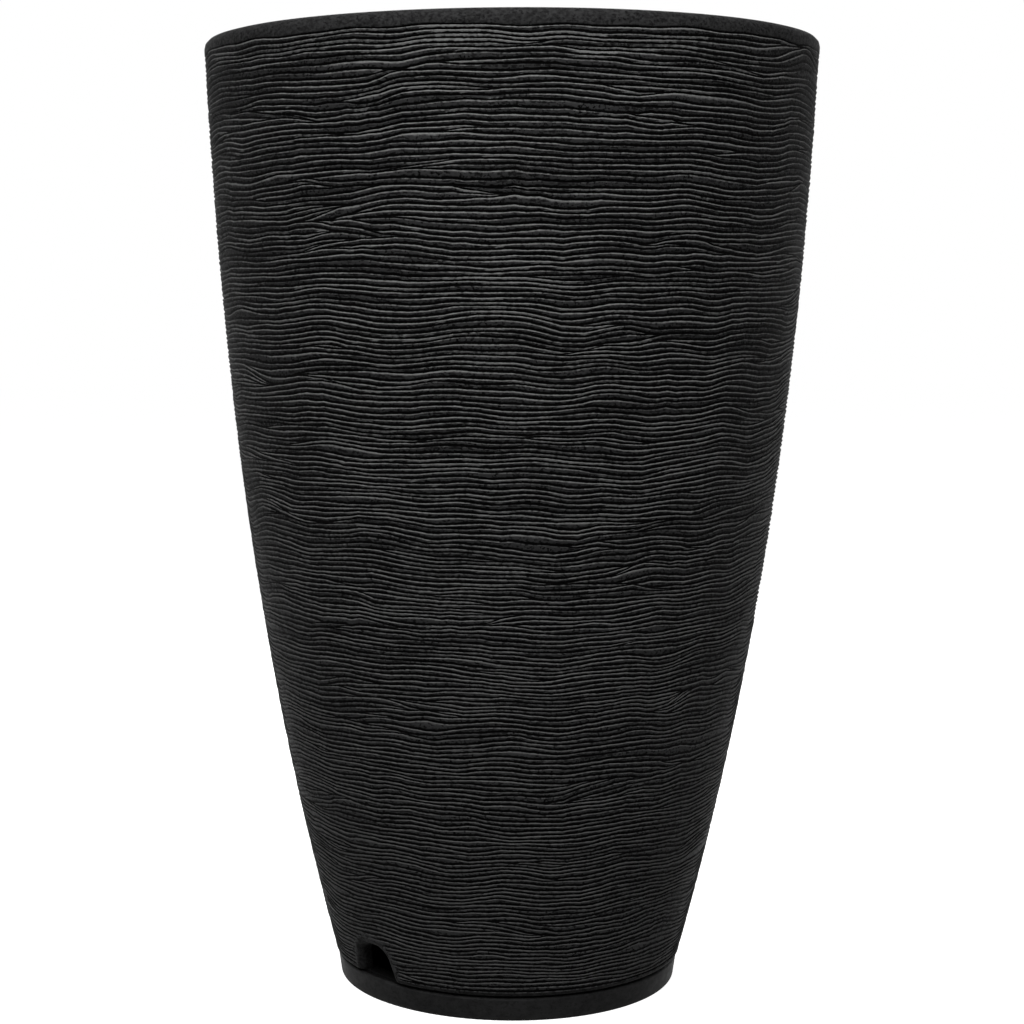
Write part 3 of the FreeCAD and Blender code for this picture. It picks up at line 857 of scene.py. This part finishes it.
# %% [markdown]
# On the pot the two vertex attributes say where a point lies on its ridge: "crest" rises from the groove
# over the face to the lip, and "side" is 0 at the foot of the face and about 1 on the worn upper edge. A
# little noise on both makes the edges ragged between the vertices, which more vertices would also do at a
# far higher cost.

# %% Combed composite, places on a ridge
RAGGED_CREST = 0.9
RAGGED_SIDE = 0.65
GROOVE_EDGE = (0.32, 0.63)
WORN_HIGHLIGHT_EDGE = (0.55, 1.0)
LIP_CREST = (0.4, 0.75)
COMBED_SIDE = (-0.4, -0.1)

combed, tree, shader, coordinates = new_finish("combed_composite")
on_crest = add_node(tree, "ShaderNodeAttribute", attribute_name="crest").outputs["Fac"]
on_side = add_node(tree, "ShaderNodeAttribute", attribute_name="side").outputs["Fac"]
grains = use_group(tree, grain_group, coordinates, Grains_per_Metre=420.0)
off_middle = math_node(tree, "SUBTRACT", grains.outputs["Grain"], 0.5)
ragged = math_node(tree, "MULTIPLY", off_middle, RAGGED_CREST)
height_on_ridge = math_node(tree, "ADD", on_crest, ragged)
side_on_ridge = math_node(tree, "ADD", on_side, math_node(tree, "MULTIPLY", ragged, RAGGED_SIDE))
out_of_groove = spread(tree, height_on_ridge, *GROOVE_EDGE)
# the upper edge, paler partly from wear and partly as a painted highlight where the light from above falls
worn_highlight_edge = spread(tree, side_on_ridge, *WORN_HIGHLIGHT_EDGE)
on_lip = math_node(tree, "MULTIPLY", worn_highlight_edge, spread(tree, height_on_ridge, *LIP_CREST))
combed_part = spread(tree, on_side, *COMBED_SIDE)
print("places on a ridge:", len(tree.nodes), "nodes")

# %% [markdown]
# Pores sit on the faces, fewer on the worn edges and on the smooth parts. Thick ridges also carry broken
# lines of pores along their middle, left by the comb's teeth. Both are small pits, and their dark colour is
# painted shade, standing in for the shade inside them. Each is a mask, and where two meet the darker one
# counts, so that pores don't add up to black patches.

# %% Combed composite, pores
STROKE_EDGE = (0.48, 0.58)
DOT_EDGE = (0.44, 0.58)
RIDGE_MIDDLE = 0.45
LINE_EDGE = (0.14, 0.32)
LINE_START = (0.05, 0.15)
LINE_DARKNESS = 0.8
PORES_ON_SMOOTH = 0.7
PORES_ON_LIP = 0.3
WHOLE_LIP = 0.7

pitted = use_group(tree, pore_group, coordinates, Pores_per_Metre=640.0)
strokes = spread(tree, noise(tree, coordinates, per_metre=30.0, stretch=(1, 1, 6)), *STROKE_EDGE)
dots = spread(tree, noise(tree, coordinates, per_metre=330.0, detail=1.0), *DOT_EDGE)
from_middle = math_node(tree, "ABSOLUTE", math_node(tree, "SUBTRACT", side_on_ridge, RIDGE_MIDDLE))
middle_line = math_node(tree, "MULTIPLY", spread(tree, from_middle, *LINE_EDGE, 1.0, 0.0), strokes)
middle_line = math_node(tree, "MULTIPLY", middle_line, dots)
middle_line = math_node(tree, "MULTIPLY", middle_line, spread(tree, on_side, *LINE_START))
smooth_share = spread(tree, on_side, *COMBED_SIDE, PORES_ON_SMOOTH, 1.0)
lip_share = spread(tree, on_lip, 0.0, WHOLE_LIP, 1.0, PORES_ON_LIP)
pored_share = math_node(tree, "MULTIPLY", smooth_share, lip_share)
face_pores = math_node(tree, "MULTIPLY", pitted.outputs["Pores"], pored_share)
dark = math_node(tree, "MAXIMUM", face_pores, math_node(tree, "MULTIPLY", middle_line, LINE_DARKNESS))
print("with pores:", len(tree.nodes), "nodes")

# %% [markdown]
# The worn edge is paler than the face. This is partly wear and partly a painted highlight where the light
# from above catches the upper edge. The groove is painted nearly black, as painted shade inside it. Towards
# the rim the edges are painted paler and the faces darker, and near the foot the tones lie closer together.
# This is painted light and shade for the light from above, which is strongest near the rim. Smooth parts are
# mottled. Mixing colours by the masks one after another, from the face up to the groove, keeps each step
# easy to change alone.

# %% Combed composite, colours
LIP_NEAR_FOOT = (0.083, 0.083, 0.0825)
LIP_NEAR_RIM = (0.145, 0.145, 0.144)
LOW_FACE_TONES = (0.046, 0.046, 0.0465), (0.07, 0.07, 0.0707)
HIGH_FACE_TONES = (0.022, 0.022, 0.0223), (0.034, 0.034, 0.0344)
SMOOTH_TONES = (0.0125, 0.0125, 0.0127), (0.0288, 0.0288, 0.0291)
PORE_SHADE_COLOUR = (0.002, 0.002, 0.002)
GROOVE_SHADE_COLOUR = (0.0006, 0.0006, 0.0006)
PAINTED_LIGHT_HEIGHTS = (0.02, 0.38)
SMOOTH_MOTTLE = (0.32, 0.68)
COMBED_ROUGHNESS = (0.62, 0.5)
COMBED_SPECULAR = 0.012
GRAIN_RELIEF = 0.6

height = add_node(tree, "ShaderNodeSeparateXYZ", {"Vector": coordinates}).outputs["Z"]
# painted light and shade: upper edges paler and faces darker towards the rim, where the light from above is
# strongest
upper_part = spread(tree, height, *PAINTED_LIGHT_HEIGHTS)
lip = mix_colour(tree, upper_part, LIP_NEAR_FOOT, LIP_NEAR_RIM)
low_face = mix_colour(tree, grains.outputs["Drift"], *LOW_FACE_TONES)
high_face = mix_colour(tree, grains.outputs["Drift"], *HIGH_FACE_TONES)
ridge_face = mix_colour(tree, upper_part, low_face, high_face)
plain_face = mix_colour(tree, spread(tree, grains.outputs["Grain"], *SMOOTH_MOTTLE), *SMOOTH_TONES)
face = mix_colour(tree, combed_part, plain_face, ridge_face)
# worn edge with a painted highlight: paler where the light from above catches the upper edge
worn_highlighted = mix_colour(tree, on_lip, face, lip)
# painted shade: pores and comb-tooth lines coloured dark as the shade inside the pits
holed = mix_colour(tree, dark, worn_highlighted, PORE_SHADE_COLOUR)
# painted shade: the groove is coloured nearly black as the shade inside it
colour = mix_colour(tree, out_of_groove, GROOVE_SHADE_COLOUR, holed)
roughness = spread(tree, grains.outputs["Grain"], *GRAIN_RANGE, *COMBED_ROUGHNESS)
set_surface(tree, shader, colour, roughness, COMBED_SPECULAR)
grain_height = math_node(tree, "MULTIPLY", grains.outputs["Grain"], GRAIN_RELIEF)
relief = math_node(tree, "SUBTRACT", grain_height, dark)
add_relief(tree, shader, relief, strength=0.7, distance=0.0004)
dress(pot, combed)

# %% [markdown]
# The tray is pressed from the same composite with a smooth face. Its solid has the right shape already, so
# it keeps its mesh and gets a mottled finish with a few shallow pores. Grain and drift together make the
# mottle, because a moulded face is cloudy at more than one scale.

# %% Smooth composite, mottle
TRAY_TONES = (0.016, 0.016, 0.0162), (0.028, 0.028, 0.0282)
TRAY_PORE_SHADE_COLOUR = (0.004, 0.004, 0.004)
SHALLOW_PORES = 0.35
MOTTLE_RANGE = (0.35, 0.65)

smooth_finish, tree, shader, coordinates = new_finish("smooth_composite")
grains = use_group(tree, grain_group, coordinates, Grains_per_Metre=160.0)
pitted = use_group(tree, pore_group, coordinates, Pores_per_Metre=500.0)
both = math_node(tree, "ADD", grains.outputs["Grain"], grains.outputs["Drift"])
mottled = math_node(tree, "MULTIPLY", both, 0.5)
face = mix_colour(tree, spread(tree, mottled, *MOTTLE_RANGE), *TRAY_TONES)
shallow = math_node(tree, "MULTIPLY", pitted.outputs["Pores"], SHALLOW_PORES)
# painted shade: the shallow pores are coloured dark as the shade inside them
pored = mix_colour(tree, shallow, face, TRAY_PORE_SHADE_COLOUR)
print("mottle:", len(tree.nodes), "nodes")

# %% [markdown]
# Everything further in than the tray's rim is darker. This is painted shade for the land and the inside,
# which lie in the shadow of the pot above, and a faint painted shadow along the rounded foot of the base. How
# far in a point lies is read from its own place: its distance from the axis, set against the leaning outer
# wall at its height. A painted mask would need an unwrapped mesh, and the tray's comes straight from its
# solid.

# %% Smooth composite, painted shade inside
TRAY_BASE_RADIUS = 0.0931
TRAY_LEAN = 0.146
INNER_SHADE_COLOUR = (0.003, 0.003, 0.003)
INNER_SHADE_DEPTH = (0.001, 0.0024)
INNER_SHADE_SHARE = 0.75
TRAY_ROUGHNESS = (0.56, 0.46)
TRAY_SPECULAR = 0.02

height = add_node(tree, "ShaderNodeSeparateXYZ", {"Vector": coordinates}).outputs["Z"]
level = add_node(tree, "ShaderNodeVectorMath", {0: coordinates, 1: (1, 1, 0)}, operation="MULTIPLY")
from_axis = add_node(tree, "ShaderNodeVectorMath", {0: level.outputs[0]}, operation="LENGTH")
outer_wall = math_node(tree, "ADD", math_node(tree, "MULTIPLY", height, TRAY_LEAN), TRAY_BASE_RADIUS)
further_in = math_node(tree, "SUBTRACT", outer_wall, from_axis.outputs["Value"])
# painted shade: darker further in than the rim, in the shadow of the pot above and along the foot of the base
inner_shade = spread(tree, further_in, *INNER_SHADE_DEPTH, 0.0, INNER_SHADE_SHARE)
colour = mix_colour(tree, inner_shade, pored, INNER_SHADE_COLOUR)
roughness = spread(tree, mottled, *MOTTLE_RANGE, *TRAY_ROUGHNESS)
set_surface(tree, shader, colour, roughness, TRAY_SPECULAR)
add_relief(tree, shader, mottled, strength=0.25, distance=0.0004)
dress(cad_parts["drip_tray"], smooth_finish)

# %% [markdown]
# The shelf is moulded in black plastic with a fine leathery grain, cut into the mould so that scratches
# don't show. It keeps its solid, and the grain is a bump, because it is far too fine for faces.

# %% Shelf plastic
PLASTIC_TONES = (0.010, 0.010, 0.0105), (0.020, 0.020, 0.0205)
PLASTIC_ROUGHNESS = (0.5, 0.62)
PLASTIC_SPECULAR = 0.06

plastic, tree, shader, coordinates = new_finish("shelf_plastic")
grains = use_group(tree, grain_group, coordinates, Grains_per_Metre=900.0)
colour = mix_colour(tree, grains.outputs["Drift"], *PLASTIC_TONES)
roughness = spread(tree, grains.outputs["Drift"], *GRAIN_RANGE, *PLASTIC_ROUGHNESS)
set_surface(tree, shader, colour, roughness, PLASTIC_SPECULAR)
add_relief(tree, shader, grains.outputs["Grain"], strength=0.35, distance=0.0003)
dress(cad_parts["plant_shelf"], plastic)

# %% [markdown]
# The plug is soft black rubber that has taken on some pale dust from the soil. The slow drift of the grain
# group serves as the mask for the dust, which saves painting it by hand.

# %% Plug rubber
RUBBER_COLOUR = (0.011, 0.011, 0.011)
DUST_COLOUR = (0.045, 0.043, 0.040)
DUST_RANGE = (0.45, 0.75)
DUST_SHARE = 0.5
RUBBER_ROUGHNESS = (0.62, 0.8)
RUBBER_SPECULAR = 0.05

rubber, tree, shader, coordinates = new_finish("plug_rubber")
grains = use_group(tree, grain_group, coordinates, Grains_per_Metre=700.0)
dusty = spread(tree, grains.outputs["Drift"], *DUST_RANGE, 0.0, DUST_SHARE)
colour = mix_colour(tree, dusty, RUBBER_COLOUR, DUST_COLOUR)
roughness = spread(tree, grains.outputs["Grain"], *GRAIN_RANGE, *RUBBER_ROUGHNESS)
set_surface(tree, shader, colour, roughness, RUBBER_SPECULAR)
add_relief(tree, shader, grains.outputs["Grain"], strength=0.2, distance=0.0002)
dress(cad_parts["drain_plug"], rubber)
